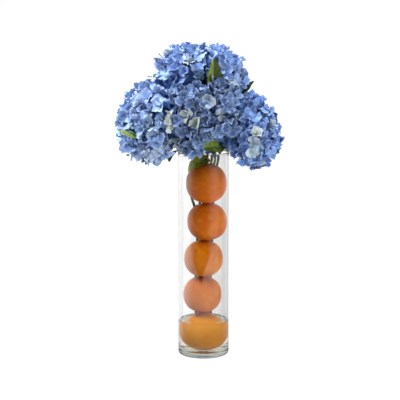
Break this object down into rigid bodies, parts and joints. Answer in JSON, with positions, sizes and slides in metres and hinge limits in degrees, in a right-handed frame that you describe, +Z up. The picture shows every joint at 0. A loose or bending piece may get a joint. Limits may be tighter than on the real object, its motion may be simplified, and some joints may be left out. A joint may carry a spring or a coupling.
{
  "type": "hydrangea arrangement in a glass vase",
  "caption": "Blue mophead hydrangeas with green leaves in a tall clear glass cylinder vase that also holds a stack of oranges and a little water.",
  "frame": {"origin": "centre of the vase's flat underside", "axes": "+Z up along the vase's axis, -Y towards the front, +X to the right seen from the front"},
  "size_m": [0.3367, 0.2683, 0.6247],
  "materials": {
    "glass": "clear polished glass",
    "water": "clear still water",
    "orange_peel": "satin, finely pored fruit peel",
    "stem_and_leaf": "satin green leaf and stalk",
    "petal": "soft matte petal, mid blue with paler rims"
  },
  "bodies": {
    "root": {"vase": "glass", "water": "water", "orange_1": "orange_peel", "orange_2": "orange_peel", "orange_3": "orange_peel", "orange_4": "orange_peel", "orange_5": "orange_peel", "stem_top_left": "stem_and_leaf", "stem_top_right": "stem_and_leaf", "stem_left": "stem_and_leaf", "stem_right": "stem_and_leaf", "stem_front": "stem_and_leaf", "stem_back": "stem_and_leaf", "head_top_left": "petal", "head_top_right": "petal", "head_left": "petal", "head_right": "petal", "head_front": "petal", "head_back": "petal"}
  },
  "joints": []
}
